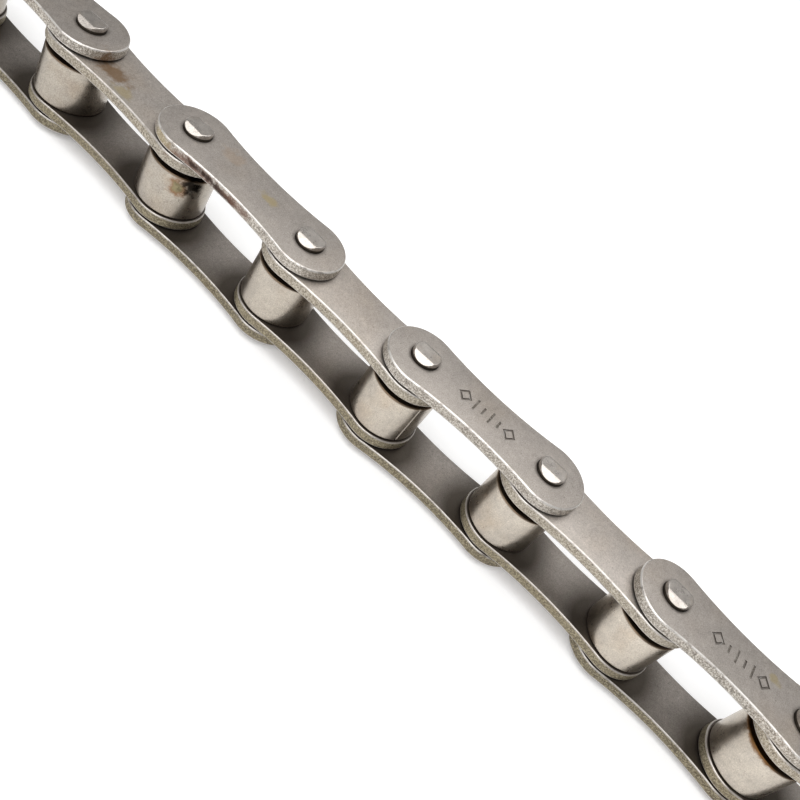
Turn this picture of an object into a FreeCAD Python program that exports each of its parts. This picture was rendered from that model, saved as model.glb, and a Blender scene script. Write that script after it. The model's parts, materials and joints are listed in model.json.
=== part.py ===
"""Steel roller chain of 2 inch pitch: a length of eleven links, lying on its side.

The pins stand along Z and the plates lie level. The chain runs along +X from the origin, which
is the centre of the first bush, midway between the plates. Both ends are inner links, so their
end bushes are open for the pins of a connecting link. All sizes are in millimetres.
"""
import FreeCAD, Part
import math
import os
from FreeCAD import Vector

# Driving dimensions
PITCH = 50.8                    # between pin centres, 2 inches
INNER_WIDTH = 19.05             # between the inner plates, 3/4 inch
PLATE_THICKNESS = 3.8
PLATE_END_RADIUS = 12.7         # the rounded ends of every plate, which is 1 inch high
OUTER_WAIST = 10.4              # half height of an outer plate at mid pitch
INNER_WAIST = 10.5              # half height of an inner plate at mid pitch
PLATE_EDGE_ROUND = 0.4          # die roll round both faces' rims
SIDE_GAP = 0.6                  # between an inner plate and the outer plate over it

PIN_RADIUS = 4.75
PIN_PROUD = 2.3                 # a pin's end above its outer plate
PIN_END_CHAMFER = 0.4
STAKE_HALF_WIDTH = 2.7          # half the flat that staking leaves across a pin's end
STAKE_FOOT = 1.0                # height over the plate at which the staked bevels run out
HOLE_CHAMFER = 0.25             # round a pin's hole, on the plate's outward face

PIN_CLEARANCE = 0.08            # radial, pin in bush
BUSH_RADIUS = 6.8
BUSH_PROUD = 0.2                # a bush's end past its inner plate
BUSH_END_CHAMFER = 0.35

ROLLER_RADIUS = 11.9
ROLLER_CLEARANCE = 0.09         # radial, roller on bush
ROLLER_LENGTH = 16.7
ROLLER_EDGE_ROUND = 0.5
ROLLER_LIFT = 0.15              # film between a roller and the lower plate it has sunk on to

# How each link lies about Z, in degrees from +X, from the first link to the last. The slack
# chain isn't quite straight. Links are inner and outer by turns, and the first is inner.
LINK_TURNS = (0.4, 0.9, -1.3, -0.9, -1.4, 2.6, -0.6, -0.9, 2.0, -0.4, 0.6)

# Heights that follow, from the chain's middle plane
INNER_FACE = INNER_WIDTH / 2
INNER_OUTSIDE = INNER_FACE + PLATE_THICKNESS
OUTER_FACE = INNER_OUTSIDE + SIDE_GAP
OUTER_OUTSIDE = OUTER_FACE + PLATE_THICKNESS
PIN_END = OUTER_OUTSIDE + PIN_PROUD
BUSH_END = INNER_OUTSIDE + BUSH_PROUD

UP = Vector(0, 0, 1)


def pin_centres():
    """The centre of each joint along the chain, one more than there are links."""
    centres = [Vector(0, 0, 0)]
    for turn in LINK_TURNS:
        angle = math.radians(turn)
        centres.append(centres[-1] + Vector(PITCH * math.cos(angle), PITCH * math.sin(angle), 0))
    return centres


def plate_outline(waist):
    """Two round ends joined by hollow arcs, tangent to them, that narrow the plate to its waist."""
    half = PITCH / 2
    end = PLATE_END_RADIUS
    hollow = (half ** 2 + waist ** 2 - end ** 2) / (2 * (end - waist))
    angle = math.atan2(waist + hollow, half)
    x = end * math.cos(angle)
    y = end * math.sin(angle)
    left_top, left_low = Vector(x, y, 0), Vector(x, -y, 0)
    right_top, right_low = Vector(PITCH - x, y, 0), Vector(PITCH - x, -y, 0)
    arcs = (
        Part.Arc(left_top, Vector(-end, 0, 0), left_low),
        Part.Arc(left_low, Vector(half, -waist, 0), right_low),
        Part.Arc(right_low, Vector(PITCH + end, 0, 0), right_top),
        Part.Arc(right_top, Vector(half, waist, 0), left_top),
    )
    return Part.Wire([arc.toShape() for arc in arcs])


def plate(waist, hole_radius, face):
    """An upper plate whose inward face is at height face, with its first hole on the Z axis."""
    blank = Part.Face(plate_outline(waist)).extrude(UP * PLATE_THICKNESS)
    rims = [edge for edge in blank.Edges if edge.BoundBox.ZLength < PLATE_EDGE_ROUND]
    blank = blank.makeFillet(PLATE_EDGE_ROUND, rims)
    for x in (0, PITCH):
        blank = blank.cut(Part.makeCylinder(hole_radius, PLATE_THICKNESS, Vector(x, 0, 0), UP))
    blank.translate(UP * face)
    return blank


def outer_plate():
    """The outer plate: its holes grip the pins and are chamfered where the pins stand proud."""
    shape = plate(OUTER_WAIST, PIN_RADIUS, OUTER_FACE)
    for x in (0, PITCH):
        base = Vector(x, 0, OUTER_OUTSIDE - HOLE_CHAMFER)
        shape = shape.cut(Part.makeCone(PIN_RADIUS, PIN_RADIUS + HOLE_CHAMFER, HOLE_CHAMFER, base))
    return shape


def inner_plate():
    """The inner plate: its holes grip the bushes."""
    return plate(INNER_WAIST, BUSH_RADIUS, INNER_FACE)


def lathe(profile):
    """A solid turned about Z from a closed outline of (radius, height) points."""
    points = [Vector(radius, 0, height) for radius, height in profile]
    face = Part.Face(Part.makePolygon(points + points[:1]))
    return face.revolve(Vector(0, 0, 0), UP, 360)


def pin():
    """A plain pin, chamfered and then staked at both ends to two bevels along the link."""
    rod = lathe((
        (0, -PIN_END), (PIN_RADIUS - PIN_END_CHAMFER, -PIN_END), (PIN_RADIUS, PIN_END_CHAMFER - PIN_END),
        (PIN_RADIUS, PIN_END - PIN_END_CHAMFER), (PIN_RADIUS - PIN_END_CHAMFER, PIN_END), (0, PIN_END),
    ))
    slope = (PIN_PROUD - STAKE_FOOT) / (PIN_RADIUS - STAKE_HALF_WIDTH)
    reach = 2 * PIN_RADIUS
    run = reach - STAKE_HALF_WIDTH
    corners = (
        Vector(-reach, STAKE_HALF_WIDTH, PIN_END), Vector(-reach, reach, PIN_END),
        Vector(-reach, reach, PIN_END - slope * run), Vector(-reach, STAKE_HALF_WIDTH, PIN_END),
    )
    bevel = Part.Face(Part.makePolygon(corners)).extrude(Vector(2 * reach, 0, 0))
    for quarter in (bevel, bevel.mirror(Vector(0, 0, 0), Vector(0, 1, 0))):
        rod = rod.cut(quarter)
        rod = rod.cut(quarter.mirror(Vector(0, 0, 0), UP))
    return rod


def bush():
    """The bush that joins two inner plates and turns on a pin."""
    bore = PIN_RADIUS + PIN_CLEARANCE
    shoulder = BUSH_END - BUSH_END_CHAMFER
    return lathe((
        (bore, -BUSH_END), (BUSH_RADIUS - BUSH_END_CHAMFER, -BUSH_END), (BUSH_RADIUS, -shoulder),
        (BUSH_RADIUS, shoulder), (BUSH_RADIUS - BUSH_END_CHAMFER, BUSH_END), (bore, BUSH_END),
    ))


def roller():
    """The roller that turns on a bush and meets the sprocket. It lies low, with its end play above."""
    foot = Vector(0, 0, ROLLER_LIFT - INNER_FACE)
    body = Part.makeCylinder(ROLLER_RADIUS, ROLLER_LENGTH, foot, UP)
    rims = [edge for edge in body.Edges if edge.BoundBox.ZLength < ROLLER_EDGE_ROUND]
    body = body.makeFillet(ROLLER_EDGE_ROUND, rims)
    return body.cut(Part.makeCylinder(BUSH_RADIUS + ROLLER_CLEARANCE, ROLLER_LENGTH, foot, UP))


def laid(shape, centre, turn):
    """A copy of a shape in its place: turned about Z to its link's lie, and moved to a joint."""
    copy = shape.copy()
    copy.rotate(Vector(0, 0, 0), UP, turn)
    copy.translate(centre)
    return copy


def below(shape):
    """The same piece on the chain's under side."""
    return shape.mirror(Vector(0, 0, 0), UP)


def inner_link(number, start, end, turn, masters):
    """Two plates, two bushes and two rollers."""
    nodes = {
        f"inner_plate_upper_{number}": laid(masters["inner_plate"], start, turn),
        f"inner_plate_lower_{number}": laid(below(masters["inner_plate"]), start, turn),
    }
    for place, centre in enumerate((start, end)):
        joint = 2 * number - 1 + place
        nodes[f"bush_{joint:02d}"] = laid(masters["bush"], centre, turn)
        nodes[f"roller_{joint:02d}"] = laid(masters["roller"], centre, turn)
    return nodes


def outer_link(number, start, end, turn, masters):
    """Two plates and two pins."""
    nodes = {
        f"outer_plate_upper_{number}": laid(masters["outer_plate"], start, turn),
        f"outer_plate_lower_{number}": laid(below(masters["outer_plate"]), start, turn),
    }
    for place, centre in enumerate((start, end)):
        nodes[f"pin_{2 * number - 1 + place:02d}"] = laid(masters["pin"], centre, turn)
    return nodes


def chain():
    """Every piece of the chain, by node name."""
    masters = {
        "inner_plate": inner_plate(), "outer_plate": outer_plate(),
        "pin": pin(), "bush": bush(), "roller": roller(),
    }
    centres = pin_centres()
    nodes = {}
    for index, turn in enumerate(LINK_TURNS):
        make = outer_link if index % 2 else inner_link
        nodes.update(make(index // 2 + 1, centres[index], centres[index + 1], turn, masters))
    return nodes


def main():
    os.makedirs("parts", exist_ok=True)
    for name, shape in chain().items():
        if not shape.isValid() or len(shape.Solids) != 1:
            raise RuntimeError(f"{name} is not one sound solid")
        shape.exportStep(os.path.join("parts", name + ".step"))


main()
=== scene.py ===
"""Looks of the steel roller chain: blanked plates, staked pins, curled bushes and rollers.

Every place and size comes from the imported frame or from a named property, in metres.
"""
import json
import math

import bmesh
import bpy
from mathutils import Matrix, Vector


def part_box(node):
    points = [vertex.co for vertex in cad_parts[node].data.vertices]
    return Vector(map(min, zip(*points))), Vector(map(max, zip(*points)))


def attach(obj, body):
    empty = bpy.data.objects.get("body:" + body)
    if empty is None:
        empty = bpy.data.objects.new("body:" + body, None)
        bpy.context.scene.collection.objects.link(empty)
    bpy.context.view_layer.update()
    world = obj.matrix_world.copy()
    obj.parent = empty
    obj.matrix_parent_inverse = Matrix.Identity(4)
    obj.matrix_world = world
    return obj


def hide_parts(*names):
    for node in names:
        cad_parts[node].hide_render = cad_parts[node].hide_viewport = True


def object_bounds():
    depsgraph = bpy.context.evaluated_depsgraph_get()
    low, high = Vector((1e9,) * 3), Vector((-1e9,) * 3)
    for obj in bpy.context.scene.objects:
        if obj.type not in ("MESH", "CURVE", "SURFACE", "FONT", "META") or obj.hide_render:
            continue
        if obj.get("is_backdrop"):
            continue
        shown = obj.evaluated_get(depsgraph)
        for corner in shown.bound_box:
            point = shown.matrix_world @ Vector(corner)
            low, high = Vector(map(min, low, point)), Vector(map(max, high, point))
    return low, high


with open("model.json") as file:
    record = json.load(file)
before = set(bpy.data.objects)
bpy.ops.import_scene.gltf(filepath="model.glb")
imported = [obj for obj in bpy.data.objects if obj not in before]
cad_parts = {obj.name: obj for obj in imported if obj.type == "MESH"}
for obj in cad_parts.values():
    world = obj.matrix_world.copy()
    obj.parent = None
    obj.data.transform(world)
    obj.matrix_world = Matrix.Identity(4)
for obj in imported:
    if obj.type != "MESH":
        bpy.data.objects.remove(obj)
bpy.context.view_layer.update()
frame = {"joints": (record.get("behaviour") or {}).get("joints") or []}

bl_info = {
    "name": "Roller chain looks",
    "version": (1, 0, 0),
    "blender": (4, 5, 0),
    "location": "3D View > Sidebar > Chain",
    "description": "Builds the visible pieces of a steel roller chain on its packed frame",
    "category": "Object",
}

MM = 0.001


# Places read from the frame

def joint_centres():
    """The centre of every joint along the chain, from the axes that its rollers turn on."""
    spins = [j for j in frame["joints"] if j["name"].startswith("roller_spin")]
    return [Vector(j["pos_m"]) for j in sorted(spins, key=lambda j: j["name"])]


CENTRES = joint_centres()
LINKS = len(CENTRES) - 1
PITCH = (CENTRES[1] - CENTRES[0]).length
MIDDLE = CENTRES[LINKS // 2]


def box_centre(node):
    low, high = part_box(node)
    return (low + high) / 2


def box_size(node):
    low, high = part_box(node)
    return high - low


def link_turn(link):
    """The angle about Z at which a link lies, counting links from nought."""
    along = CENTRES[link + 1] - CENTRES[link]
    return math.atan2(along.y, along.x)


def in_link(link, x, y, z=0.0):
    """A point given in millimetres in a link's own frame, whose X runs between its joints."""
    return CENTRES[link] + Matrix.Rotation(link_turn(link), 3, "Z") @ (Vector((x, y, z)) * MM)


def on_roller(joint, angle, height):
    """A point on a roller's wall, by its angle about Z in degrees and its height in millimetres."""
    radius = box_size(f"roller_{joint:02d}").y / 2
    turn = math.radians(angle)
    wall = Vector((radius * math.cos(turn), radius * math.sin(turn), height * MM))
    return CENTRES[joint - 1] + wall


def added(name, data):
    """A new object of this data, in the scene."""
    made = bpy.data.objects.new(name, data)
    bpy.context.scene.collection.objects.link(made)
    return made


def at_joint(joint, node):
    """The point on a joint's axis, counting joints from nought, at a node's middle height."""
    return Vector((CENTRES[joint].x, CENTRES[joint].y, box_centre(node).z))


def end_radius():
    """The radius of a plate's rounded end: what a plate's box spans past its joints, halved."""
    node = "inner_plate_upper_1"
    return (box_size(node).x - PITCH * math.cos(link_turn(0))) / 2


# Properties

def length(name, description, millimetres):
    return bpy.props.FloatProperty(
        name=name, description=description, default=millimetres * MM, unit="LENGTH", precision=5,
        min=0)


def angle_of(name, description, degrees):
    return bpy.props.FloatProperty(
        name=name, description=description, default=math.radians(degrees), subtype="ANGLE")


def factor(name, description, default):
    return bpy.props.FloatProperty(
        name=name, description=description, default=default, subtype="FACTOR", min=0, max=1)


def colour(name, description, default):
    return bpy.props.FloatVectorProperty(
        name=name, description=description, default=default, subtype="COLOR", size=3, min=0, max=1)


class ChainPlates(bpy.types.PropertyGroup):
    """Sizes of the blanked side plates."""
    end_radius: length("End radius", "Radius of a plate's round ends", end_radius() / MM)
    outer_waist: length("Outer waist", "Half height of an outer plate at mid pitch", 10.4)
    inner_waist: length("Inner waist", "Half height of an inner plate at mid pitch", 10.5)
    edge_round: length("Edge round", "Roll of both faces' rims", 0.6)
    hole_chamfer: length("Hole chamfer", "Chamfer round a pin's hole", 0.25)
    shear: length("Shear roughness", "Depth of the torn grain on the blanked edge", 0.09)
    stamp_depth: length("Stamp depth", "Depth of the stamped marks", 0.28)
    stamp_height: length("Stamp height", "Height of the stamped marks", 5.0)
    stamp_width: length("Stamp width", "Width of a stamped stroke", 0.75)


class ChainTurnedParts(bpy.types.PropertyGroup):
    """Sizes of the pins, bushes and rollers."""
    flat: length("Staked flat", "Half width of the flat on a pin's staked end", 2.7)
    foot: length("Stake foot", "Height over the plate where the staked bevel runs out", 0.95)
    pin_round: length("Pin round", "Round on a pin's ends", 0.4)
    crease: length("Crease", "Width over which the staked bevel blends into the flat", 0.15)
    clearance: length("Clearance", "Radial play of a pin in its bush", 0.08)
    bush_round: length("Bush round", "Round on a bush's ends", 0.3)
    play: length("Play", "Radial play of a roller on its bush", 0.09)
    roller_round: length("Roller round", "Round on a roller's ends", 0.6)
    seam: length("Seam", "Depth of the seam where a roller or bush was curled shut", 0.3)


class ChainFinish(bpy.types.PropertyGroup):
    """Colours of the steel, in linear light."""
    plate: colour("Plate steel", "Satin face of a plate", (0.47, 0.425, 0.385))
    plate_tint: colour("Plate tint", "Straw tint in patches on a plate", (0.43, 0.355, 0.28))
    plate_dark: colour("Plate scale", "Dull patches on a plate", (0.34, 0.31, 0.28))
    torn: colour("Torn edge", "Bright grain on a blanked edge", (0.80, 0.76, 0.69))
    pit: colour("Pits", "Dark pits between the torn grain", (0.10, 0.09, 0.08))
    roller: colour("Roller steel", "Satin wall of a roller", (0.50, 0.45, 0.385))
    roller_tint: colour("Roller tint", "Oiled patches on a roller", (0.42, 0.33, 0.24))
    pin: colour("Pin steel", "Ground face of a pin", (0.52, 0.48, 0.44))
    # This colour is also laid on as painted shade in the gaps, at the pin feet and in the stamped
    # marks
    grime_and_shade: colour("Grime", "Oil and dust in the gaps", (0.045, 0.035, 0.025))
    rust: colour("Rust", "Rust on the rollers", (0.20, 0.10, 0.04))
    # How bright the rims are: partly burnish, partly a painted highlight
    burnish_and_highlight: factor("Burnish", "How bright the rubbed rims are", 0.75)


class ChainStage(bpy.types.PropertyGroup):
    """The floor, the lights and the camera."""
    lens: bpy.props.FloatProperty(
        name="Lens", description="Focal length in millimetres on a 36 mm sensor", default=42.8,
        min=1, unit="CAMERA")
    distance: length("Distance", "From the camera to the point it looks at", 298.77)
    azimuth: angle_of("Azimuth", "Turn of the camera about Z", 7.97)
    elevation: angle_of("Elevation", "Height angle of the camera", 40.29)
    roll: angle_of("Roll", "Turn of the camera about its own axis", 39.3)
    floor: colour("Floor", "Pale floor", (0.93, 0.93, 0.93))


# Building node trees

class Value:
    """A number or a field in a node tree, which plain arithmetic can be written with."""

    def __init__(self, build, socket):
        self.build = build
        self.socket = socket

    def __add__(self, other):
        return self.build.math("ADD", self, other)

    def __sub__(self, other):
        return self.build.math("SUBTRACT", self, other)

    def __rsub__(self, other):
        return self.build.math("SUBTRACT", other, self)

    def __mul__(self, other):
        return self.build.math("MULTIPLY", self, other)

    def __truediv__(self, other):
        return self.build.math("DIVIDE", self, other)

    def __neg__(self):
        return self * -1

    def __abs__(self):
        return self.build.math("ABSOLUTE", self)


class Build:
    """Places and links nodes in one tree."""

    def __init__(self, tree):
        self.tree = tree

    def node(self, kind, inputs=None, **settings):
        made = self.tree.nodes.new(kind)
        for name, value in settings.items():
            setattr(made, name, value)
        for key, value in (inputs or {}).items():
            self.feed(made.inputs[key], value)
        return made

    def feed(self, socket, value):
        """Links a Value or a socket to an input, or sets the input to a number or a colour."""
        if isinstance(value, Value):
            value = value.socket
        if isinstance(value, bpy.types.NodeSocket):
            self.tree.links.new(value, socket)
        elif socket.type == "RGBA":
            socket.default_value = (*value[:3], 1)
        else:
            socket.default_value = value

    def get(self, kind, inputs=None, output=0, **settings):
        return Value(self, self.node(kind, inputs, **settings).outputs[output])

    def math(self, operation, *values):
        return self.get("ShaderNodeMath", dict(enumerate(values)), operation=operation)

    def ramp(self, value, low, high, to_low=0.0, to_high=1.0, smooth=True):
        """A value carried from one range to another and held at its ends."""
        shape = "SMOOTHSTEP" if smooth else "LINEAR"
        ends = {
            "Value": value, "From Min": low, "From Max": high, "To Min": to_low, "To Max": to_high,
        }
        return self.get("ShaderNodeMapRange", ends, interpolation_type=shape)

    def split(self, vector):
        parts = self.node("ShaderNodeSeparateXYZ", {"Vector": vector})
        return [Value(self, out) for out in parts.outputs]

    def join(self, x, y, z):
        return self.get("ShaderNodeCombineXYZ", {"X": x, "Y": y, "Z": z})

    def vector(self, operation, *values, output="Vector"):
        return self.get(
            "ShaderNodeVectorMath", dict(enumerate(values)), output, operation=operation)

    def scaled(self, vector, amount):
        return self.get(
            "ShaderNodeVectorMath", {"Vector": vector, "Scale": amount}, operation="SCALE")

    def noise(self, vector, scale, detail, seed, roughness=0.5, distortion=0.0):
        ends = {
            "Vector": vector, "W": seed, "Scale": scale, "Detail": detail,
            "Roughness": roughness, "Distortion": distortion,
        }
        return self.get("ShaderNodeTexNoise", ends, noise_dimensions="4D")

    def mix(self, amount, first, second, blend="MIX"):
        """One colour laid over another. A Mix node's colour sockets are 6, 7 and 2."""
        ends = {0: amount, 6: first, 7: second}
        return self.get("ShaderNodeMix", ends, 2, data_type="RGBA", blend_type=blend)

    def tinted(self, first, by):
        return self.mix(1.0, first, by, "MULTIPLY")

    def attribute(self, name, output="Fac"):
        """A number stored on the mesh, in a material, or a vector with the output of that name."""
        return self.get("ShaderNodeAttribute", output=output, attribute_name=name)


# Kinds of socket
FLOAT = "NodeSocketFloat"
VECTOR = "NodeSocketVector"
COLOUR = "NodeSocketColor"
GEOMETRY = "NodeSocketGeometry"
MATERIAL = "NodeSocketMaterial"


def new_tree(name, kind, inputs, outputs):
    """A node group's builder and its inputs, each given by its kind or by its first number."""
    tree = bpy.data.node_groups.new(name, kind)
    for label, given in inputs.items():
        socket_type = given if isinstance(given, str) else FLOAT
        socket = tree.interface.new_socket(name=label, in_out="INPUT", socket_type=socket_type)
        if socket_type is FLOAT:
            socket.default_value = given
    for label, socket_type in outputs.items():
        tree.interface.new_socket(name=label, in_out="OUTPUT", socket_type=socket_type)
    build = Build(tree)
    entry = build.node("NodeGroupInput")
    return build, {label: Value(build, entry.outputs[label]) for label in inputs}


def geometry_tree(name, sizes):
    """A tree that makes a piece of these sizes, turns it, puts it in place and paints it."""
    ends = {"Turn": VECTOR, "Place": VECTOR, "Material": MATERIAL}
    return new_tree(name, "GeometryNodeTree", {**sizes, **ends}, {"Geometry": GEOMETRY})


# How far from a sleeve's seam its mark fades, in radians
SEAM_FADE = (0.012, 0.05)
# How many points the trees lay out, and how near two points lie to be made one
END_POINTS, SIDE_POINTS, HOLE_POINTS = 120, 80, 72
RIM_AROUND, RIM_ACROSS = 460, 25
SLEEVE_AROUND, SLEEVE_ROUND_POINTS = 256, 5
PIN_AROUND, PIN_DOWN = 112, 73
OUTLINE_WELD, RIM_WELD, PLATE_WELD, PIN_WELD = 1e-5, 1e-6, 4e-6, 2e-6


def store(build, geometry, name, value, kind="FLOAT"):
    """Keeps a value on every point of a mesh, for its material to read."""
    ends = {"Geometry": geometry, "Name": name, "Value": value}
    return build.get("GeometryNodeStoreNamedAttribute", ends, data_type=kind, domain="POINT")


def unit_grid(build, columns, rows):
    """A flat grid of unit size to be wrapped into a shape, and its points' shares of each side."""
    ends = {"Size X": 1, "Size Y": 1, "Vertices X": columns, "Vertices Y": rows}
    grid = build.get("GeometryNodeMeshGrid", ends)
    share_x, share_y, _ = build.split(build.get("GeometryNodeInputPosition"))
    return grid, share_x, share_y


def weld(build, geometry, distance):
    ends = {"Geometry": geometry, "Distance": distance}
    return build.get("GeometryNodeMergeByDistance", ends)


def finish_tree(build, geometry, size):
    """Puts a mesh in its place, makes it real, gives it its material and ends its tree."""
    ends = {"Geometry": geometry, "Translation": size["Place"], "Rotation": size["Turn"]}
    placed = build.get("GeometryNodeTransform", ends)
    real = build.get("GeometryNodeRealizeInstances", {"Geometry": placed})
    ends = {"Geometry": real, "Material": size["Material"]}
    build.node("NodeGroupOutput", {0: build.get("GeometryNodeSetMaterial", ends)})
    return build.tree


def plate_tree():
    """A plate blanked from strip: round ends, hollow sides, rolled rims and a torn edge."""
    build, size = geometry_tree("Blanked plate", {
        "Pitch": PITCH, "End Radius": 0.0127, "Waist": 0.0105, "Thickness": 0.0038,
        "Edge Round": 0.0004, "Hole Radius": 0.005, "Hole Chamfer": 0.0003, "Shear": 0.0001,
        "Seed": 0.0, "Tone": 1.0, "Inner": 0.0, "Lower": 0.0,
    })
    math_, half = build.math, size["Pitch"] * 0.5
    end, waist = size["End Radius"], size["Waist"]
    hollow = (half * half + waist * waist - end * end) / ((end - waist) * 2)
    angle = math_("ARCTAN2", waist + hollow, half)

    def arc(points, radius, start, sweep):
        ends = {"Resolution": points, "Radius": radius, "Start Angle": start, "Sweep Angle": sweep}
        return build.get("GeometryNodeCurveArc", ends, mode="RADIUS")

    def moved(geometry, place=(0, 0, 0), turn=(0, 0, 0)):
        return build.get(
            "GeometryNodeTransform", {"Geometry": geometry, "Translation": place, "Rotation": turn})

    def joined(*parts):
        node = build.node("GeometryNodeJoinGeometry")
        for part in reversed(parts):
            build.tree.links.new(part.socket, node.inputs[0])
        return Value(build, node.outputs[0])

    # The outline is a round end and a hollow side, and the same two again turned half way round
    round_end = arc(END_POINTS, end, angle, 2 * math.pi - angle * 2)
    side = arc(SIDE_POINTS, hollow, angle + math.pi, math.pi - angle * 2)
    side = moved(side, build.join(half, waist + hollow, 0))
    one_half = joined(round_end, side)
    other_half = moved(one_half, build.join(size["Pitch"], 0, 0), (0, 0, math.pi))
    wires = build.get("GeometryNodeCurveToMesh", {"Curve": joined(one_half, other_half)})
    outline = build.get("GeometryNodeMeshToCurve", {"Mesh": weld(build, wires, OUTLINE_WELD)})

    # The rim is a grid wrapped round the outline: across it goes the face, the edge, the face
    grid, share_x, share_y = unit_grid(build, RIM_AROUND + 1, RIM_ACROSS)
    v = share_y + 0.5
    # Nought on the faces, and one half way down the edge
    grid = store(build, grid, "across", 1 - abs(share_y * 2))
    sample = build.node(
        "GeometryNodeSampleCurve", {"Curves": outline, "Factor": share_x + 0.5}, mode="FACTOR")
    point = Value(build, sample.outputs["Position"])
    tangent = Value(build, sample.outputs["Tangent"])
    sideways = build.vector("CROSS_PRODUCT", tangent, (0, 0, 1))
    x, y, _ = build.split(point)
    spine = build.join(math_("MINIMUM", math_("MAXIMUM", x, 0), size["Pitch"]), 0, 0)
    from_spine = build.vector("SUBTRACT", point, spine)
    facing = build.vector("DOT_PRODUCT", sideways, from_spine, output="Value")
    outward = build.scaled(sideways, math_("SIGN", facing))
    # Its first and last quarters are the rolled rims, and its middle half is the torn wall
    radius = size["Edge Round"]
    upper = build.ramp(v, 0, 0.25, 0, math.pi / 2, smooth=False)
    lower = build.ramp(v, 0.75, 1, math.pi / 2, 0, smooth=False)
    down = build.ramp(v, 0.25, 0.75, smooth=False)
    offset = radius * (math_("SINE", upper) + math_("SINE", lower) - 2)
    height = (
        size["Thickness"] * 0.5 - radius * (1 - math_("COSINE", upper))
        - (size["Thickness"] - radius * 2) * down - radius * math_("COSINE", lower)
    )
    # Torn grain stands in and out of the edge, and fades on the rolled rims
    torn = build.ramp(v, 0.12, 0.3) * build.ramp(v, 0.88, 0.7)
    place = build.join(x, y, height)
    grain = build.noise(place, 1300, 3.0, size["Seed"], roughness=0.65) - 0.55
    wander = build.noise(place, 90, 1.0, size["Seed"]) - 0.5
    offset = offset + (grain * 2 + wander) * size["Shear"] * torn - size["Shear"] * torn * 0.4
    moved_to = build.vector("ADD", place, build.scaled(outward, offset))
    rim = build.get("GeometryNodeSetPosition", {"Geometry": grid, "Position": moved_to})
    rim = weld(build, rim, RIM_WELD)

    # The faces are filled between the rim and the holes
    def face(hole, level):
        _, _, z = build.split(build.get("GeometryNodeInputPosition"))
        chosen = math_("LESS_THAN", abs(z - level), RIM_WELD)
        loop = build.get("GeometryNodeMeshToCurve", {"Mesh": rim, "Selection": chosen})
        ends = {"Resolution": HOLE_POINTS, "Radius": hole}
        ring = build.get("GeometryNodeCurvePrimitiveCircle", ends, mode="RADIUS")
        rings = joined(loop, ring, moved(ring, build.join(size["Pitch"], 0, 0)))
        filled = build.get("GeometryNodeFillCurve", {"Curve": rings}, mode="TRIANGLES")
        return moved(filled, build.join(0, 0, level))

    top, chamfer = size["Thickness"] * 0.5, size["Hole Chamfer"]
    upper_face = face(size["Hole Radius"] + chamfer, top)
    lower_face = face(size["Hole Radius"], -top)
    ends = {
        "Vertices": HOLE_POINTS, "Radius": size["Hole Radius"],
        "Depth": size["Thickness"] - chamfer,
    }
    bore = build.get("GeometryNodeMeshCylinder", ends, fill_type="NONE")
    bore = moved(bore, build.join(0, 0, chamfer * -0.5))
    ends = {
        "Vertices": HOLE_POINTS, "Radius Top": size["Hole Radius"] + chamfer,
        "Radius Bottom": size["Hole Radius"], "Depth": chamfer,
    }
    lip = build.get("GeometryNodeMeshCone", ends, fill_type="NONE")
    lip = moved(lip, build.join(0, 0, top - chamfer))
    holes = joined(bore, lip)
    every = joined(
        rim, upper_face, lower_face, holes, moved(holes, build.join(size["Pitch"], 0, 0)))
    whole = weld(build, every, PLATE_WELD)
    for name in ("tone", "inner", "lower"):
        whole = store(build, whole, name, size[name.title()])
    position = build.get("GeometryNodeInputPosition")
    whole = store(build, whole, "in_plate", position, "FLOAT_VECTOR")
    return finish_tree(build, whole, size)


def tube_tree():
    """A sleeve curled from strip: a rounded wall turned about Z, with its seam down one side."""
    build, size = geometry_tree("Curled sleeve", {
        "Outer Radius": 0.01, "Bore Radius": 0.005, "Length": 0.01, "Edge Round": 0.0005,
        "Seam Depth": 0.0003, "Tone": 1.0,
    })
    middle = (size["Outer Radius"] + size["Bore Radius"]) * 0.5
    wall = size["Outer Radius"] - size["Bore Radius"]
    ends = {"Resolution": SLEEVE_AROUND, "Radius": middle}
    path = build.get("GeometryNodeCurvePrimitiveCircle", ends, mode="RADIUS")
    section = build.get(
        "GeometryNodeCurvePrimitiveQuadrilateral", {"Width": wall, "Height": size["Length"]})
    ends = {
        "Curve": section, "Count": SLEEVE_ROUND_POINTS, "Radius": size["Edge Round"],
        "Limit Radius": True,
    }
    section = build.get("GeometryNodeFilletCurve", ends, mode="POLY")
    sleeve = build.get("GeometryNodeCurveToMesh", {"Curve": path, "Profile Curve": section})
    x, y, z = build.split(build.get("GeometryNodeInputPosition"))
    angle = abs(build.math("ARCTAN2", y, x))
    on_seam = build.math("LESS_THAN", angle, math.pi / SLEEVE_AROUND)
    distance = build.math("SQRT", x * x + y * y)
    outside = build.math("GREATER_THAN", distance, middle)
    pull = 1 - size["Seam Depth"] * on_seam * outside / distance
    ends = {"Geometry": sleeve, "Position": build.join(x * pull, y * pull, z)}
    sleeve = build.get("GeometryNodeSetPosition", ends)
    # How far up the wall a point lies, 0 at its foot and 1 at its top, and how near to the seam
    sleeve = store(build, sleeve, "along", z / size["Length"] + 0.5)
    sleeve = store(build, sleeve, "seam", build.ramp(angle, *SEAM_FADE, 1, 0))
    sleeve = store(build, sleeve, "tone", size["Tone"])
    sleeve = store(build, sleeve, "outside", outside)
    return finish_tree(build, sleeve, size)


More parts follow.
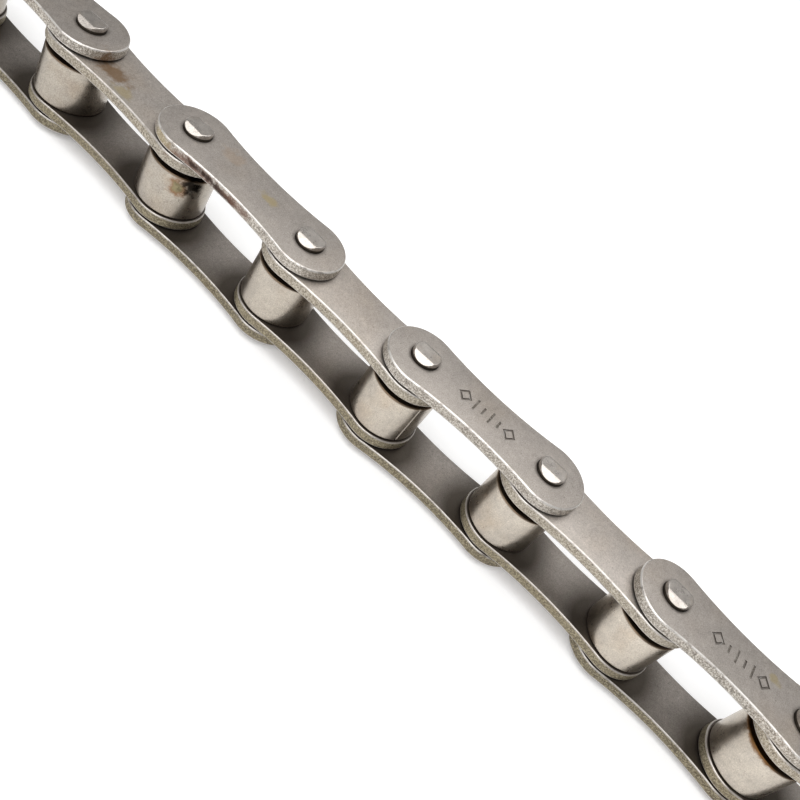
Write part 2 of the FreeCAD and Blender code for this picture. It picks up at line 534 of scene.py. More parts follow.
def pin_tree():
    """A solid pin whose two ends are staked to bevels on both sides of a flat."""
    build, size = geometry_tree("Staked pin", {
        "Radius": 0.005, "Length": 0.04, "Edge Round": 0.0004, "Flat": 0.003, "Slope": 0.6,
        "Crease": 0.0003, "Tone": 1.0,
    })
    math_ = build.math
    grid, share_x, share_y = unit_grid(build, PIN_AROUND + 1, PIN_DOWN)
    angle = (share_x + 0.5) * (2 * math.pi)
    inwards = 1 - abs(share_y * 2)
    half, rounding = size["Length"] * 0.5, size["Edge Round"]
    # Half the grid's rows make each end: its flat face, then its round, then the wall below
    face_share, round_share = 0.66, 0.86
    spread = build.ramp(inwards, 0, face_share, smooth=False)
    bend = build.ramp(inwards, face_share, round_share, 0, math.pi / 2, smooth=False)
    drop = build.ramp(inwards, round_share, 1, smooth=False)
    radius = (size["Radius"] - rounding) * spread + rounding * math_("SINE", bend)
    height = half - rounding * (1 - math_("COSINE", bend)) - (half - rounding) * drop
    y = radius * math_("SINE", angle)
    past = math_("MAXIMUM", abs(y) - size["Flat"], size["Crease"] * -4)
    bevel = half - past * size["Slope"]
    height = math_("SMOOTH_MIN", height, bevel, size["Crease"] * size["Slope"])
    place = build.join(radius * math_("COSINE", angle), y, height * math_("SIGN", share_y))
    grid = store(build, grid, "depth", half - height)
    pin = build.get("GeometryNodeSetPosition", {"Geometry": grid, "Position": place})
    pin = store(build, weld(build, pin, PIN_WELD), "tone", size["Tone"])
    return finish_tree(build, pin, size)


def plain_mesh(name, tree, values):
    """The mesh that a tree makes from these values, with its faces turned outwards."""
    scratch = added(name, bpy.data.meshes.new(name))
    modifier = scratch.modifiers.new(name, "NODES")
    modifier.node_group = tree
    for item in tree.interface.items_tree:
        if item.name in values:
            modifier[item.identifier] = values[item.name]
    graph = bpy.context.evaluated_depsgraph_get()
    mesh = bpy.data.meshes.new_from_object(scratch.evaluated_get(graph))
    bpy.data.objects.remove(scratch)
    if not mesh.polygons:
        raise RuntimeError(f"the tree {tree.name} made nothing for {name}")
    mesh.name = name
    give_material(mesh, values["Material"])
    tidy_mesh(mesh)
    return mesh


def give_material(mesh, material):
    """Leaves a mesh with this one material, on all of its faces."""
    mesh.materials.clear()
    mesh.materials.append(material)
    mesh.polygons.foreach_set("material_index", [0] * len(mesh.polygons))


def tidy_mesh(mesh, crease=math.radians(38)):
    """Turns a mesh's faces outwards and shades it smooth between its sharp edges."""
    work = bmesh.new()
    work.from_mesh(mesh)
    bmesh.ops.dissolve_degenerate(work, dist=1e-7, edges=work.edges)
    bmesh.ops.recalc_face_normals(work, faces=work.faces)
    work.to_mesh(mesh)
    work.free()
    mesh.polygons.foreach_set("use_smooth", [True] * len(mesh.polygons))
    mesh.set_sharp_from_angle(angle=crease)


def piece(craft, tree, values, body, slot, *nodes):
    """A finished piece, named for how it's made, on its body and standing for its CAD nodes."""
    name = f"{craft}_{nodes[0]}"
    made = added(name, plain_mesh(name, tree, {**values, "Material": finishes()[slot]}))
    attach(made, body)
    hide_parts(*nodes)


# Finishes

# Colours laid over the steel, and those that it is multiplied by
STRAW, BROWN, UMBER = (0.38, 0.30, 0.13), (0.15, 0.068, 0.042), (0.03, 0.015, 0.01)
BLACK_OIL, OLD_OIL, SCORCH = (0.012, 0.010, 0.008), (0.17, 0.08, 0.025), (0.25, 0.22, 0.13)
# The last colour on the next line is a rubbed rim's: partly burnish, partly a painted highlight
RUSTY, FAINT_RUST, RUBBED_HIGHLIGHT = (0.20, 0.115, 0.05), (0.40, 0.26, 0.14), (0.90, 0.87, 0.83)
BY_DULLING, BY_DUST = (0.95, 0.94, 0.9), (0.60, 0.565, 0.44)
BY_SHADE, BY_OIL = (0.62, 0.58, 0.53), (0.36, 0.3, 0.24)

# Each stain is a point, a radius in millimetres, a squeeze on each axis, a colour and a strength
EDGE_STAINS = (
    (in_link(3, -3, -12.7, 15.6), 5.0, (0.6, 1, 1.6), STRAW, 0.5),
    (in_link(3, 11, -12.0, 15.0), 5.0, (0.32, 1, 1.2), BROWN, 0.75),
    (in_link(3, 14, -12.0, 15.9), 4.6, (0.4, 1, 3.2), UMBER, 0.95),
    (in_link(3, 23, -11.0, 15.2), 4.4, (0.45, 1, 3.0), UMBER, 0.9),
    (in_link(3, 28, -11.0, 15.8), 3.6, (0.4, 1, 1.8), BROWN, 0.6),
)
FACE_STAINS = (
    (in_link(2, 16, -3.6, 13.3), 6.5, (0.7, 1.2, 1), RUSTY, 0.8),
    (in_link(2, 25, -7, 13.3), 4.0, (0.8, 1.2, 1), STRAW, 0.5),
    (in_link(3, 13, 4, 17.7), 4.5, (0.8, 1, 1), FAINT_RUST, 0.28),
    (in_link(3, 32, 1, 17.7), 3.4, (0.7, 1.3, 1), STRAW, 0.6),
    (in_link(7, 37, 4.8, 17.7), 2.6, (1, 1, 1), STRAW, 0.55),
)
ROLLER_STAINS = (
    (on_roller(4, -52, 3.8), 2.5, (1, 1, 1), SCORCH, 0.9),
    (on_roller(4, -46, 5.2), 2.8, (1, 1, 1.3), BLACK_OIL, 0.9),
    (on_roller(4, -32, 4.8), 4.4, (1, 1, 0.9), BLACK_OIL, 0.97),
    (on_roller(9, -125, 7.9), 12.0, (0.8, 0.8, 5), OLD_OIL, 0.9),
)

# Distances from a joint's axis over which painted shade comes in on a plate: under another plate's
# end, round a pin and near a roller
UNDER_PLATE_SHADE, ROUND_PIN_SHADE = (13.2 * MM, 12.2 * MM), (6.2 * MM, 4.9 * MM)
NEAR_ROLLER_SHADE, UNDER_ROLLER_SHADE = (25 * MM, 12 * MM), (12.4 * MM, 11.4 * MM)
# Depths below a pin's end over which painted shade comes in, and the span across a lower plate over
# which its near half is painted in shade
PIN_FOOT_SHADE, NEAR_HALF_SHADE = (1.2 * MM, 1.55 * MM), (-9 * MM, 7 * MM)
# A point this far off a plate's middle height is on one of its faces
FACE_LEVEL = 1.5 * MM


def steel_group():
    """Patchy satin steel: colour, roughness and a fine grain that follow the object's place."""
    build, use = new_tree("Satin steel", "ShaderNodeTree", {
        "Vector": VECTOR, "Steel": COLOUR, "Tint": COLOUR, "Dark": COLOUR, "Patches": 60.0,
        "Roughness": 0.4, "Tone": 1.0,
    }, {"Colour": COLOUR, "Roughness": FLOAT, "Grain": FLOAT})
    where, scale = use["Vector"], use["Patches"]
    cloud = build.noise(where, scale, 3, 1.7, roughness=0.55, distortion=0.4)
    tint = build.noise(where, scale * 0.6, 2, 6.1, roughness=0.6)
    mottle = build.noise(where, 520, 4, 3.3, roughness=0.7)
    fine = build.noise(where, 2600, 2, 8.2, roughness=0.6)
    colour_ = build.mix(build.ramp(tint, 0.48, 0.75) * 0.55, use["Steel"], use["Tint"])
    colour_ = build.mix(build.ramp(cloud, 0.42, 0.78) * 0.5, colour_, use["Dark"])
    specks = build.noise(where, 1250, 2, 5.9, roughness=0.5)
    bright = build.ramp(specks, 0.62, 0.74) * 0.18
    dark = build.ramp(specks, 0.38, 0.26) * -0.22
    light = (mottle - 0.5) * 0.5 + (fine - 0.5) * 0.9 + bright + dark + use["Tone"]
    colour_ = build.tinted(colour_, build.join(light, light, light))
    rough = use["Roughness"] + (mottle - 0.5) * 0.22 + (cloud - 0.5) * 0.12
    grain = mottle * 0.6 + fine * 0.4
    build.node("NodeGroupOutput", {0: colour_, 1: rough, 2: grain})
    return build.tree


def torn_group():
    """Torn grain of a blanked edge: bright crystals and dark pits, as a mask and a relief."""
    build, use = new_tree("Torn grain", "ShaderNodeTree", {"Vector": VECTOR, "Scale": 1500.0}, {
        "Bright": FLOAT, "Pits": FLOAT, "Relief": FLOAT,
    })
    coarse = build.noise(use["Vector"], use["Scale"], 4, 4.4, roughness=0.7)
    fine = build.noise(use["Vector"], use["Scale"] * 2.2, 3, 9.1, roughness=0.7)
    both = coarse * 0.6 + fine * 0.4
    build.node("NodeGroupOutput", {
        0: build.ramp(both, 0.5, 0.56), 1: build.ramp(both, 0.47, 0.41), 2: both,
    })
    return build.tree


def spot_group():
    """A stain round one point, with a ragged outline."""
    build, use = new_tree("Stain", "ShaderNodeTree", {
        "Vector": VECTOR, "Centre": VECTOR, "Stretch": VECTOR, "Radius": 0.004, "Ragged": 0.5,
    }, {"Mask": FLOAT})
    away = build.vector("SUBTRACT", use["Vector"], use["Centre"])
    away = build.vector("MULTIPLY", away, use["Stretch"])
    distance = build.vector("LENGTH", away, output="Value") / use["Radius"]
    ragged = (build.noise(use["Vector"], 330, 4, 2.2, roughness=0.6) - 0.5) * use["Ragged"] * 4
    build.node("NodeGroupOutput", {0: build.ramp(distance + ragged, 1.0, 0.3)})
    return build.tree


class Finish:
    """A material being built: its object coordinates, its shader and the groups it places."""

    def __init__(self, name, **shader):
        self.material = bpy.data.materials.new(name)
        self.material.use_nodes = True
        tree = self.material.node_tree
        tree.nodes.clear()
        self.build = Build(tree)
        self.where = self.build.get("ShaderNodeTexCoord", output="Object")
        self.shader = self.build.node("ShaderNodeBsdfPrincipled", shader)
        self.build.node("ShaderNodeOutputMaterial", {"Surface": self.shader.outputs[0]})

    def group(self, tree, **values):
        values["Vector"] = self.where
        made = self.build.node("ShaderNodeGroup", values, node_tree=tree)
        return [Value(self.build, out) for out in made.outputs]

    def bump(self, height, strength, distance, below=None):
        ends = {"Height": height, "Strength": strength, "Distance": distance}
        if below is not None:
            ends["Normal"] = below
        return self.build.get("ShaderNodeBump", ends)

    def paint(self, colour_, roughness, normal):
        self.build.feed(self.shader.inputs["Base Color"], colour_)
        self.build.feed(self.shader.inputs["Roughness"], roughness)
        self.build.feed(self.shader.inputs["Normal"], normal)
        return self.material


def stained(finish, groups, colour_, stains):
    """A colour with stains laid over it, in order."""
    for centre, radius, stretch, shade, strength in stains:
        mask, = finish.group(
            groups["stain"], Centre=tuple(centre), Radius=radius * MM, Stretch=stretch)
        colour_ = finish.build.mix(mask * strength, colour_, shade)
    return colour_


def satin(finish, groups, steel, tint, patches, roughness):
    """Satin steel of these colours placed in a material: its colour, roughness and grain."""
    return finish.group(
        groups["steel"], Steel=steel, Tint=tint,
        Dark=bpy.context.scene.chain_finish.plate_dark, Patches=patches,
        Roughness=roughness, Tone=finish.build.attribute("tone"))


def plate_finish(groups, colours):
    """Satin plate faces, burnished rims with a painted highlight, a speckled torn edge and painted
    shade where pieces meet.
    """
    finish = Finish("Plate steel", Metallic=0.75)
    build = finish.build
    across = build.attribute("across")
    steel, rough, grain = satin(finish, groups, colours.plate, colours.plate_tint, 55.0, 0.45)
    bright, pits, relief = finish.group(groups["torn"], Scale=1700.0)
    edge = build.ramp(across, 0.32, 0.52)
    rim = build.ramp(across, 0.05, 0.22) * build.ramp(across, 0.56, 0.36)
    dull = build.tinted(steel, BY_DULLING)
    torn = build.mix(bright * 0.75, dull, colours.torn)
    torn = build.mix(pits * 0.8, torn, colours.pit)
    # Dust clings to the oiled edges of the lower plates
    dusty = build.tinted(torn, BY_DUST)
    lower, inner = build.attribute("lower"), build.attribute("inner")
    torn = build.mix(build.math("MAXIMUM", lower, inner * 0.45), torn, dusty)
    torn = stained(finish, groups, torn, EDGE_STAINS)
    colour_ = build.mix(edge, steel, torn)
    # Rubbed rims: burnish wear with a painted highlight on it, made weaker on inner and lower
    # plates as painted shade
    rubbed = build.ramp(build.noise(finish.where, 330, 3, 7.7, roughness=0.7), 0.3, 0.55)
    rubbed = rubbed * (1 - inner * 0.35) * (1 - lower * 0.45)
    colour_ = build.mix(rim * rubbed * colours.burnish_and_highlight, colour_, RUBBED_HIGHLIGHT)
    # Painted shade lies wherever another piece covers a face, in a ring round each pin and near
    # each roller
    x, y, level = build.split(build.attribute("in_plate", "Vector"))
    nearest = build.math("MINIMUM", abs(x), abs(x - PITCH))
    hub = build.math("SQRT", nearest * nearest + y * y)
    outwards = build.math("GREATER_THAN", level, FACE_LEVEL)
    inwards = build.math("LESS_THAN", level, -FACE_LEVEL)
    covered_shade = build.ramp(hub, *UNDER_PLATE_SHADE)
    # Painted shade in a ring round each pin
    ring = build.ramp(hub, *ROUND_PIN_SHADE)
    roller_shade = build.ramp(hub, *NEAR_ROLLER_SHADE) * 0.85
    under_roller_shade = build.math("MAXIMUM", build.ramp(hub, *UNDER_ROLLER_SHADE), roller_shade)
    grime_and_shade = covered_shade * (outwards * inner * 0.4 + inwards * (1 - inner) * 0.6)
    grime_and_shade = grime_and_shade + under_roller_shade * inwards * inner
    grime_and_shade = grime_and_shade + roller_shade * inwards * (1 - inner)
    grime_and_shade = grime_and_shade + ring * outwards * (1 - inner) * 0.45
    # Painted shade on the near half of each lower plate's inward face
    near_half_shade = build.ramp(y, *NEAR_HALF_SHADE) * inwards * lower
    grime_and_shade = grime_and_shade + near_half_shade * 0.34
    # All of the masks above are painted shade, laid on in the grime colour
    grime_and_shade = build.math("MINIMUM", grime_and_shade, 0.92) * (1 - edge) * (1 - rim)
    colour_ = build.mix(grime_and_shade, colour_, colours.grime_and_shade)
    shaded = build.tinted(colour_, BY_SHADE)
    colour_ = build.mix(inwards * (1 - edge) * 0.1, colour_, shaded)
    colour_ = stained(finish, groups, colour_, FACE_STAINS)
    rough = rough + edge * 0.12 - rim * 0.12
    # Painted shade inside the stamped marks, in the grime colour
    colour_ = build.mix(build.attribute("stamp") * 0.6, colour_, colours.grime_and_shade)
    normal = finish.bump(grain, 0.5, 0.00005)
    normal = finish.bump(relief * edge, 1.0, 0.00016, normal)
    return finish.paint(colour_, rough, normal)


def roller_finish(groups, colours):
    """Satin roller walls, oiled brown ends, rust where the oil has gone."""
    finish = Finish("Roller steel", Metallic=1.0)
    build = finish.build
    along, seam, outside = [build.attribute(name) for name in ("along", "seam", "outside")]
    steel, rough, grain = satin(
        finish, groups, colours.roller, colours.roller_tint, 130.0, 0.30)
    ends = build.ramp(along, 0.955, 0.99) + build.ramp(along, 0.045, 0.012)
    oiled = build.tinted(colours.roller_tint, BY_OIL)
    colour_ = build.mix(ends * 0.9, steel, oiled)
    # The bore side is darkened with the grime colour, and a line along the seam
    colour_ = build.mix((1 - outside) * 0.8, colour_, colours.grime_and_shade)
    colour_ = build.mix(seam * 0.5, colour_, colours.grime_and_shade)
    rust = (on_roller(4, -50, 3.8), 4.9, (1, 1, 1), colours.rust, 0.85)
    colour_ = stained(finish, groups, colour_, (rust, *ROLLER_STAINS))
    rough = rough + ends * 0.1
    return finish.paint(colour_, rough, finish.bump(grain, 0.3, 0.00004))


def pin_finish(groups, colours):
    """Ground pin ends with painted shade where they leave the plate."""
    finish = Finish("Pin steel", Metallic=0.9)
    build = finish.build
    steel, rough, grain = satin(finish, groups, colours.pin, colours.plate_tint, 300.0, 0.30)
    # Painted shade on the wall below each staked end, where it stands from the plate
    low = build.ramp(build.attribute("depth"), *PIN_FOOT_SHADE)
    colour_ = build.mix(low * 0.95, steel, colours.grime_and_shade)
    return finish.paint(colour_, rough + low * 0.2, finish.bump(grain, 0.3, 0.00004))


def bush_finish(groups, colours):
    """Dull bushes, darkened with the grime colour all but their ends."""
    finish = Finish("Bush steel", Metallic=0.85)
    build = finish.build
    along = build.attribute("along")
    steel, rough, grain = satin(finish, groups, colours.plate, colours.plate_tint, 160.0, 0.42)
    ends = build.ramp(along, 0.97, 1.0) + build.ramp(along, 0.03, 0.0)
    colour_ = build.mix((1 - ends) * 0.55, steel, colours.grime_and_shade)
    return finish.paint(colour_, rough, finish.bump(grain, 0.3, 0.00004))


def finishes():
    """Every material by its slot, built once."""
    slots = ("plate_steel", "roller_steel", "pin_steel", "bush_steel")
    names = {slot: slot.replace("_", " ").capitalize() for slot in slots}
    if names["plate_steel"] not in bpy.data.materials:
        groups = {"steel": steel_group(), "torn": torn_group(), "stain": spot_group()}
        colours = bpy.context.scene.chain_finish
        for make in (plate_finish, roller_finish, pin_finish, bush_finish):
            make(groups, colours)
    return {slot: bpy.data.materials[name] for slot, name in names.items()}


def tree_named(name, make):
    """A geometry tree, built the first time that it is asked for."""
    return bpy.data.node_groups.get(name) or make()


# Pieces

# How bright each kind of plate is next to the others: inner and outer plates each were blanked from
# their own strip, and the lower plates are darker with painted shade under the upper plates
STRIP_TONE_AND_SHADE = {"inner": 0.99, "outer": 0.84, "upper": 1.0, "lower": 0.86}
# The chain's first end is darker with painted shade: plates by this much, clearing over this many
# links
FIRST_END_SHADE, FIRST_END_LINKS = 0.14, 4
# A bright roller's tone, and by how much painted shade darkens the rollers up to this joint
ROLLER_TONE, ROLLER_FIRST_END_SHADE, FIRST_END_ROLLERS = 1.06, 0.27, 3
GOLDEN_ANGLE = 2.399
# Shallow chamfer round a bush's hole in an inner plate
BUSH_HOLE_CHAMFER = 0.05 * MM
# The links whose upper plate is stamped, and the turn of its marks
STAMPED = {5: 0.0, 7: math.pi}
# Where the seam points, in degrees, on a roller that shows it
SHOWN_SEAMS = {6: -33}


def tone_of(number, spread):
    """A small fixed difference in tone from one piece to the next."""
    return 1 + spread * math.sin(number * GOLDEN_ANGLE + 0.7)


def make_plates(kind, links, waist, hole, chamfer):
    """Upper and lower plates of every inner or outer link."""
    sizes = bpy.context.scene.chain_plates
    tree = tree_named("Blanked plate", plate_tree)
    for number, link in enumerate(links, 1):
        # Painted shade darkens the plates towards the chain's first end
        clear = 1 - FIRST_END_SHADE * max(0, 1 - link / FIRST_END_LINKS)
        tone = tone_of(link, 0.03) * STRIP_TONE_AND_SHADE[kind] * clear
        for side, over in (("upper", 0.0), ("lower", math.pi)):
            node = f"{kind}_plate_{side}_{number}"
            values = {
                "Pitch": PITCH, "End Radius": sizes.end_radius, "Waist": waist,
                "Thickness": box_size(node).z, "Edge Round": sizes.edge_round,
                "Hole Radius": hole, "Hole Chamfer": chamfer, "Shear": sizes.shear,
                "Seed": 3.1 * link + over, "Tone": tone * STRIP_TONE_AND_SHADE[side],
                "Inner": float(kind == "inner"), "Lower": float(side == "lower"),
                "Turn": Vector((over, 0, link_turn(link))), "Place": at_joint(link, node),
            }
            piece("blanked", tree, values, f"{kind}_link_{number}", "plate_steel", node)


def sleeve_tone(joint):
    """The tone of a roller or a bush, darker with painted shade at the chain's first end."""
    dull = min(1, max(0, 1 - (joint - FIRST_END_ROLLERS) / FIRST_END_LINKS))
    return tone_of(joint, 0.02) * (ROLLER_TONE - ROLLER_FIRST_END_SHADE * dull)


def make_sleeves(kind, slot, body_of, bore, rounding, seam, turn_of):
    """A curled sleeve at every joint: a bush or a roller."""
    tree = tree_named("Curled sleeve", tube_tree)
    for joint in range(1, len(CENTRES) + 1):
        node = f"{kind}_{joint:02d}"
        size = box_size(node)
        values = {
            "Outer Radius": size.y / 2, "Bore Radius": bore, "Length": size.z,
            "Edge Round": rounding, "Seam Depth": seam, "Tone": sleeve_tone(joint),
            "Turn": Vector((0, 0, turn_of(joint))), "Place": at_joint(joint - 1, node),
        }
        piece("curled", tree, values, body_of(joint), slot, node)


class CHAIN_OT_inner_plates(bpy.types.Operator):
    """Blank the plates of the inner links"""
    bl_idname = "chain.inner_plates"
    bl_label = "Inner plates"

    def execute(self, context):
        sizes = context.scene.chain_plates
        hole = box_size("bush_01").y / 2
        make_plates("inner", range(0, LINKS, 2), sizes.inner_waist, hole, BUSH_HOLE_CHAMFER)
        return {"FINISHED"}


class CHAIN_OT_outer_plates(bpy.types.Operator):
    """Blank the plates of the outer links"""
    bl_idname = "chain.outer_plates"
    bl_label = "Outer plates"

    def execute(self, context):
        sizes = context.scene.chain_plates
        hole = box_size("pin_01").x / 2
        make_plates("outer", range(1, LINKS, 2), sizes.outer_waist, hole, sizes.hole_chamfer)
        return {"FINISHED"}


def stroke_box(work, start, end, width, bottom, top):
    """One straight stamped stroke: a box along a line, between two heights."""
    start, end = Vector(start), Vector(end)
    along = (end - start).normalized() * (width / 2)
    aside = Vector((-along.y, along.x))
    corners = (
        start - along - aside, end + along - aside, end + along + aside, start - along + aside)
    low = [work.verts.new((*corner, bottom)) for corner in corners]
    high = [work.verts.new((*corner, top)) for corner in corners]
    work.faces.new(reversed(low))
    work.faces.new(high)
    for here in range(4):
        ahead = (here + 1) % 4
        work.faces.new((low[here], low[ahead], high[ahead], high[here]))


def mark_strokes(height):
    """A row of plain marks: a diamond, four bars of two heights, and a diamond."""
    half, wide = height / 2, 0.4 * height
    strokes = []
    for middle in (-1.75 * height, 1.75 * height):
        tips = [(middle - wide, 0), (middle, half), (middle + wide, 0), (middle, -half)]
        strokes += zip(tips, tips[1:] + tips[:1])
    for step, share in enumerate((1.0, 0.55, 1.0, 0.55)):
        x = (step - 1.5) * 0.6 * height
        strokes.append(((x, -half * share), (x, half * share)))
    return strokes


def stamp_cutter(sizes, place):
    """An object of the marks' strokes, standing as far above a place as they cut below it."""
    work = bmesh.new()
    for start, end in mark_strokes(sizes.stamp_height):
        stroke_box(work, start, end, sizes.stamp_width, -sizes.stamp_depth, sizes.stamp_depth)
    mesh = bpy.data.meshes.new("stamp")
    work.to_mesh(mesh)
    work.free()
    mesh.transform(place)
    return added("stamp", mesh)


def pressed_mesh(plate, cutter):
    """The plate's mesh with the cutter's strokes sunk into it."""
    press = plate.modifiers.new("stamp", "BOOLEAN")
    press.object = cutter
    press.operation = "DIFFERENCE"
    press.solver = "EXACT"
    press.use_self = True
    graph = bpy.context.evaluated_depsgraph_get()
    stamped = bpy.data.meshes.new_from_object(plate.evaluated_get(graph))
    if len(stamped.polygons) <= len(plate.data.polygons):
        raise RuntimeError(f"the stamp left no mark on {plate.name}")
    plate.modifiers.clear()
    give_material(stamped, plate.data.materials[0])
    tidy_mesh(stamped)
    return stamped


def stamp(link, node, turned, sizes):
    """Presses the row of marks into the middle of an upper plate."""
    plate = bpy.data.objects[f"blanked_{node}"]
    _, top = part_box(node)
    middle = (CENTRES[link] + CENTRES[link + 1]) / 2
    turn = Matrix.Rotation(link_turn(link) + turned, 4, "Z")
    cutter = stamp_cutter(sizes, Matrix.Translation((middle.x, middle.y, top.z)) @ turn)
    tone = plate.data.attributes["tone"].data[0].value
    stamped = pressed_mesh(plate, cutter)
    plate.data = stamped
    bpy.data.objects.remove(cutter)
    # The new points have their place in the plate and its tone written afresh
    place = Matrix.Translation(at_joint(link, node))
    to_plate = (place @ Matrix.Rotation(link_turn(link), 4, "Z")).inverted()
    for vertex, kept in zip(stamped.vertices, stamped.attributes["in_plate"].data):
        kept.vector = to_plate @ vertex.co
    stamped.attributes["tone"].data.foreach_set("value", [tone] * len(stamped.vertices))
    # The faces inside the marks are found by their place and their depth
    pressed = stamped.attributes.new("stamp", "FLOAT", "FACE")
    reach = 2.6 * sizes.stamp_height
    for face, kept in zip(stamped.polygons, pressed.data):
        spot = to_plate @ face.center
        below = top.z - face.center.z
        near = abs(spot.x - PITCH / 2) < reach and abs(spot.y) < sizes.stamp_height
        kept.value = float(near and 0.01 * MM < below < 2 * sizes.stamp_depth)


class CHAIN_OT_stamps(bpy.types.Operator):
    """Stamp the marks on two of the outer plates"""
    bl_idname = "chain.stamps"
    bl_label = "Stamped marks"

    def execute(self, context):
        sizes = context.scene.chain_plates
        for link, turned in STAMPED.items():
            stamp(link, f"outer_plate_upper_{(link + 1) // 2}", turned, sizes)
        return {"FINISHED"}


class CHAIN_OT_pins(bpy.types.Operator):
    """Turn the pins and stake their ends"""
    bl_idname = "chain.pins"
    bl_label = "Pins"

    def execute(self, context):
        sizes = context.scene.chain_parts
        tree = tree_named("Staked pin", pin_tree)
        _, plate_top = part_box("outer_plate_upper_1")
        for number in range(1, LINKS):
            node = f"pin_{number:02d}"
            size = box_size(node)
            radius = size.x / 2
            proud = size.z / 2 - plate_top.z
            link = number - 1 + number % 2
            values = {
                "Radius": radius, "Length": size.z, "Edge Round": sizes.pin_round,
                "Flat": sizes.flat, "Slope": (proud - sizes.foot) / (radius - sizes.flat),
                "Crease": sizes.crease, "Tone": tone_of(number, 0.05),
                "Turn": Vector((0, 0, link_turn(link))), "Place": at_joint(number, node),
            }
            body = f"outer_link_{(number + 1) // 2}"
            piece("staked", tree, values, body, "pin_steel", node)
        return {"FINISHED"}


class CHAIN_OT_bushes(bpy.types.Operator):
    """Curl the bushes that join the inner plates"""
    bl_idname = "chain.bushes"
    bl_label = "Bushes"

    def execute(self, context):
        sizes = context.scene.chain_parts
        bore = box_size("pin_01").x / 2 + sizes.clearance
        make_sleeves("bush", "bush_steel", lambda joint: f"inner_link_{(joint + 1) // 2}", bore,
                     sizes.bush_round, sizes.seam * 0.5, lambda joint: math.pi / 2)
        return {"FINISHED"}


class CHAIN_OT_rollers(bpy.types.Operator):
    """Curl the rollers that turn on the bushes"""
    bl_idname = "chain.rollers"
    bl_label = "Rollers"

    def execute(self, context):
        sizes = context.scene.chain_parts
        bore = box_size("bush_01").y / 2 + sizes.play
        make_sleeves("roller", "roller_steel", lambda joint: f"roller_body_{joint:02d}", bore,
                     sizes.roller_round, sizes.seam, roller_turn)
        return {"FINISHED"}


def roller_turn(joint):
    """Where a roller's seam points: one shows at the side, the others have rolled out of sight."""
    return math.radians(SHOWN_SEAMS.get(joint, 15 + 97 * joint % 150))


class CHAIN_OT_stage(bpy.types.Operator):
    """Lay the floor, hang the lights and set up the camera"""
    bl_idname = "chain.stage"
    bl_label = "Stage"

    def execute(self, context):
        stage = context.scene.chain_stage
        context.scene.view_settings.view_transform = "Standard"
        add_floor(stage)
        add_lights()
        add_camera(stage)
        return {"FINISHED"}


FLOOR_RADIUS = 8.0
# The floor's glow: the distances from the chain between which it rises, and from what to what
FLOOR_GLOW = (0.8, 2.6, 0.2, 0.6)
# How bright the surround is to light by, and to look at
SURROUND_LIGHT, SURROUND_SEEN = 0.3, 0.9
# Each light's direction from the chain, its distance, size and power
LIGHTS = {
    "key light": ((-0.12, -0.50, 0.86), 1.5, 1.7, 23),
    "back light": ((0.0, 0.40, 0.92), 1.8, 1.3, 13),
}
# Where the camera looks, from the middle of the sixth roller
AIM = Vector((2.24, 0.09, -0.29)) * MM


def add_floor(stage):
    """A wide pale floor under the chain."""
    low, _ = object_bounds()
    mesh = bpy.data.meshes.new("floor")
    work = bmesh.new()
    bmesh.ops.create_circle(work, cap_ends=True, radius=FLOOR_RADIUS, segments=96)
    work.to_mesh(mesh)
    work.free()
    mesh.transform(Matrix.Translation((MIDDLE.x, MIDDLE.y, low.z)))
    floor = added("floor", mesh)
    finish = Finish("Floor", Roughness=0.9)
    build = finish.build
    build.feed(finish.shader.inputs["Base Color"], stage.floor)
    # The floor glows a little, and more where the lights don't reach it
    away = build.vector("SUBTRACT", finish.where, tuple(MIDDLE))
    glow = build.ramp(build.vector("LENGTH", away, output="Value"), *FLOOR_GLOW)
    build.feed(finish.shader.inputs["Emission Color"], build.join(glow, glow, glow))
    finish.shader.inputs["Emission Strength"].default_value = 1.0
    mesh.materials.append(finish.material)
    floor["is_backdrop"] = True


def add_lights():
    """Square soft lights that face the middle of the chain, and an even pale surround."""
    for name, (direction, distance, size, power) in LIGHTS.items():
        data = bpy.data.lights.new(name, "AREA")
        data.shape = "SQUARE"
        data.size = size
        data.energy = power
        light = added(name, data)
        towards = Vector(direction).normalized()
        light.location = MIDDLE + towards * distance
        light.rotation_euler = towards.to_track_quat("Z", "Y").to_euler()
    world = bpy.data.worlds.new("surround")
    world.use_nodes = True
    build = Build(world.node_tree)
    seen = build.get("ShaderNodeLightPath", output="Is Camera Ray")
    background = world.node_tree.nodes["Background"]
    background.inputs["Color"].default_value = (1, 1, 1, 1)
    strength = build.ramp(seen, 0, 1, SURROUND_LIGHT, SURROUND_SEEN, smooth=False)
    build.feed(background.inputs["Strength"], strength)
    bpy.context.scene.world = world


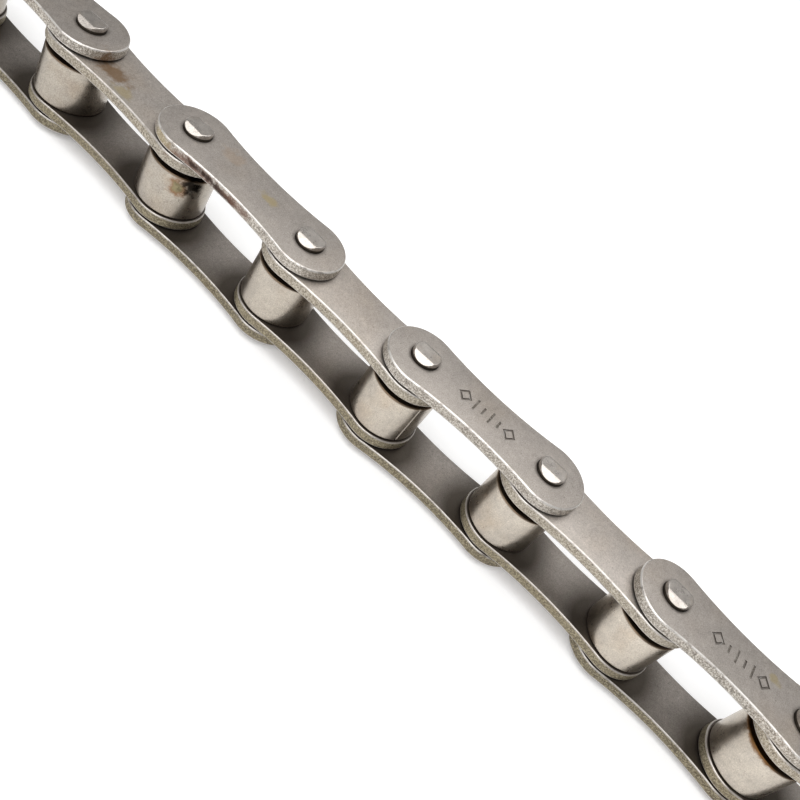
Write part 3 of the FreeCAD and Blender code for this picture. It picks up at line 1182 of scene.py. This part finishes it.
def add_camera(stage):
    """A camera over the near side, rolled so that the chain runs down across the frame."""
    data = bpy.data.cameras.new("camera")
    data.lens = stage.lens
    data.sensor_width = 36
    data.clip_start = 0.01
    data.clip_end = 50
    camera = added("camera", data)
    turn = (
        Matrix.Rotation(stage.azimuth, 3, "Z")
        @ Matrix.Rotation(math.pi / 2 - stage.elevation, 3, "X")
        @ Matrix.Rotation(stage.roll, 3, "Z")
    )
    aim = box_centre("roller_06") + AIM
    camera.location = aim + turn @ Vector((0, 0, stage.distance))
    camera.rotation_euler = turn.to_euler()
    bpy.context.scene.camera = camera


class CHAIN_PT_looks(bpy.types.Panel):
    """Shows the chain's sizes, finishes and stage, and the buttons that build its pieces"""
    bl_label = "Roller chain"
    bl_idname = "CHAIN_PT_looks"
    bl_space_type = "VIEW_3D"
    bl_region_type = "UI"
    bl_category = "Chain"

    def draw(self, context):
        for group in PROPERTIES:
            column = self.layout.box().column()
            settings = getattr(context.scene, group)
            for name in settings.bl_rna.properties.keys():
                if name not in ("rna_type", "name"):
                    column.prop(settings, name)
        for operator in OPERATORS:
            self.layout.operator(operator.bl_idname)


PROPERTIES = {
    "chain_plates": ChainPlates,
    "chain_parts": ChainTurnedParts,
    "chain_finish": ChainFinish,
    "chain_stage": ChainStage,
}
OPERATORS = (
    CHAIN_OT_inner_plates, CHAIN_OT_outer_plates, CHAIN_OT_stamps, CHAIN_OT_bushes,
    CHAIN_OT_rollers, CHAIN_OT_pins, CHAIN_OT_stage,
)


def register():
    for kind in (*PROPERTIES.values(), *OPERATORS, CHAIN_PT_looks):
        bpy.utils.register_class(kind)
    for name, kind in PROPERTIES.items():
        setattr(bpy.types.Scene, name, bpy.props.PointerProperty(type=kind))


def unregister():
    for name in PROPERTIES:
        delattr(bpy.types.Scene, name)
    for kind in reversed((*PROPERTIES.values(), *OPERATORS, CHAIN_PT_looks)):
        bpy.utils.unregister_class(kind)


def main():
    register()
    for operator in OPERATORS:
        family, name = operator.bl_idname.split(".")
        getattr(getattr(bpy.ops, family), name)()


if __name__ == "__main__":
    main()
